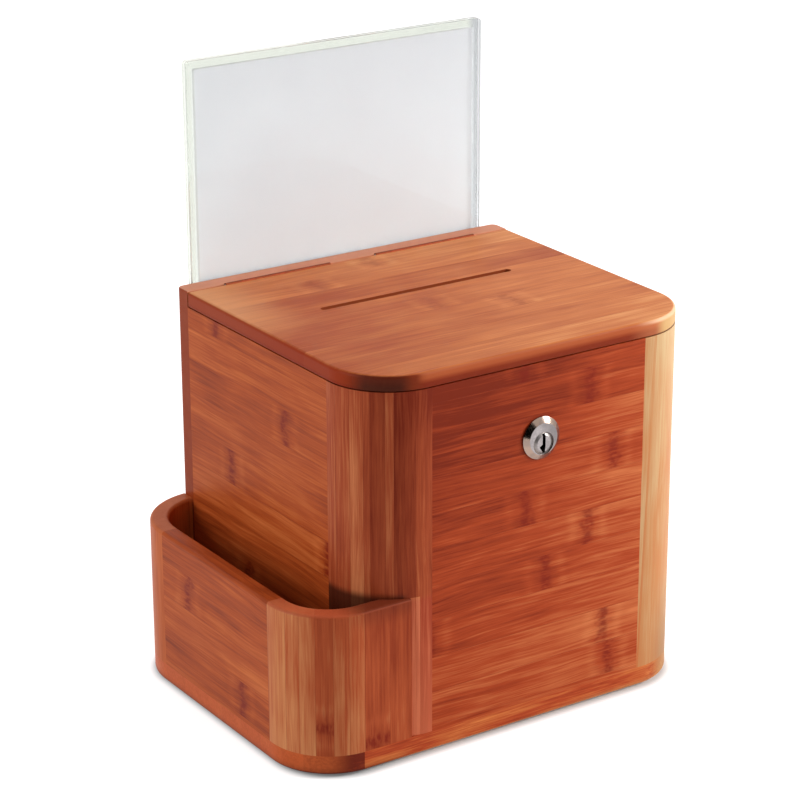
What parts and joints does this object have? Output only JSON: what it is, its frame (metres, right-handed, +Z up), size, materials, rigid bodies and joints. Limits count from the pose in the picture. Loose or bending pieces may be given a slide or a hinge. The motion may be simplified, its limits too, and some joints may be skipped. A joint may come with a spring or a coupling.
{
  "type": "ballot box",
  "caption": "Bamboo ballot box with rounded front, side pocket, slotted hinged lid, cam lock and upright sign holder.",
  "frame": {"origin": "middle of the whole object's footprint, on the surface that its pads stand on", "axes": "+Z up, +X to the right as seen from the front, +Y towards the back board and the sign"},
  "size_m": [0.266, 0.2154, 0.3572],
  "materials": {
    "bamboo_lid": "caramel bamboo, satin lacquer, grain along the width",
    "bamboo_base": "caramel bamboo, satin lacquer",
    "bamboo_panel": "reddish caramel bamboo, satin lacquer, strips with node marks",
    "bamboo_post": "caramel bamboo, satin lacquer, upright strips of mixed tone",
    "clear_acrylic": "clear acrylic sheet, polished edges",
    "card": "smooth white card, left blank",
    "chrome": "polished",
    "zinc": "zinc plated",
    "brass": "dull brass",
    "rubber": "matt"
  },
  "bodies": {
    "box": {"base_board": "bamboo_base", "base_pads": "rubber", "base_screws": "zinc", "front_panel": "bamboo_panel", "left_corner_post": "bamboo_post", "right_corner_post": "bamboo_post", "left_side_panel": "bamboo_panel", "right_side_panel": "bamboo_panel", "back_board": "bamboo_panel", "pocket_front_corner": "bamboo_post", "pocket_side_wall": "bamboo_panel", "pocket_rear_corner": "bamboo_post", "hinge_body_leaves": "brass", "hinge_pins": "zinc", "hinge_body_screws": "brass", "lock_housing": "chrome", "lock_nut": "zinc", "sign_holder": "clear_acrylic", "sign_screws": "zinc", "sign_washers": "zinc"},
    "lid": {"lid": "bamboo_lid", "hinge_lid_leaves": "brass", "hinge_lid_screws": "brass", "lid_strike": "zinc", "strike_screws": "zinc"},
    "lock": {"lock_plug": "chrome", "lock_cam": "zinc", "cam_screw": "zinc"},
    "card": {"sign_card": "card"}
  },
  "joints": [
    {"name": "lid_hinge", "type": "hinge", "parent": "box", "child": "lid", "pos_m": [0.02, 0.0864, 0.2256], "axis": [-1, 0, 0], "range_deg": [0, 94]},
    {"name": "lock_turn", "type": "hinge", "parent": "box", "child": "lock", "pos_m": [0.02, -0.1043, 0.1702], "axis": [0, 1, 0], "range_deg": [0, 90]},
    {"name": "card_slide", "type": "slide", "parent": "box", "child": "card", "axis": [0, 0, 1], "range_m": [0, 0.155]}
  ]
}
